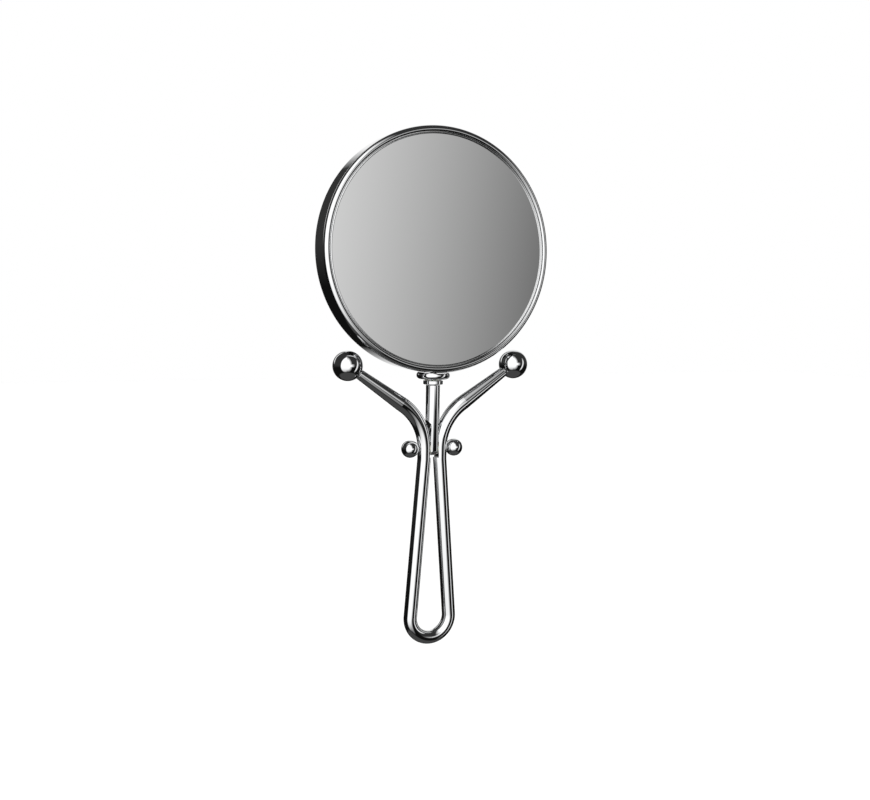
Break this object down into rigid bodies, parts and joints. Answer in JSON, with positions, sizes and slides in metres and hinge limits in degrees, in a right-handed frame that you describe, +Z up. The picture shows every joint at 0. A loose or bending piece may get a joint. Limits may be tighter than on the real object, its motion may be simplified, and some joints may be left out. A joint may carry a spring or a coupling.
{
  "type": "hand and table mirror",
  "caption": "Round double-sided chrome mirror on a folding stem, with a bent-rod loop handle whose ball-tipped horns and loop end also form a table stand.",
  "frame": {"origin": "the grip point, on the centre line between the handle's two legs, 60 mm below the fold hinge", "axes": "+Z up along the handle, the stem and the mirror's centre line; +X to the right along the fold hinge; the plain mirror faces -Y"},
  "size_m": [0.1296, 0.0182, 0.2796],
  "materials": {
    "chrome": "polished chrome plate",
    "mirror": "silvered float glass",
    "steel": "turned steel",
    "rubber": "black moulded rubber",
    "felt": "grey pressed felt",
    "moulding": "black moulded plastic",
    "nylon": "natural nylon"
  },
  "bodies": {
    "frame": {"loop_handle": "chrome", "horn_left": "chrome", "horn_right": "chrome", "foot_ball_left": "chrome", "foot_ball_right": "chrome", "hinge_axle": "steel", "ball_nut_left": "chrome", "ball_nut_right": "chrome", "friction_washer_left": "nylon", "friction_washer_right": "nylon"},
    "stem": {"stem": "chrome", "stem_collar": "chrome", "swivel_screw": "steel", "thrust_washer": "nylon"},
    "head": {"rim_channel": "chrome", "front_trim_ring": "chrome", "back_trim_ring": "chrome", "front_glass": "mirror", "back_glass": "mirror", "front_seal": "rubber", "back_seal": "rubber", "front_pad": "felt", "back_pad": "felt", "core_plate": "moulding", "swivel_disc": "chrome", "spring_washer": "steel"}
  },
  "joints": [
    {"name": "neck_fold", "type": "hinge", "parent": "frame", "child": "stem", "pos_m": [0, 0, 0.06], "axis": [1, 0, 0], "range_deg": [-110, 110]},
    {"name": "head_swivel", "type": "hinge", "parent": "stem", "child": "head", "pos_m": [0, 0, 0.0965], "axis": [0, 0, 1], "continuous": true}
  ]
}
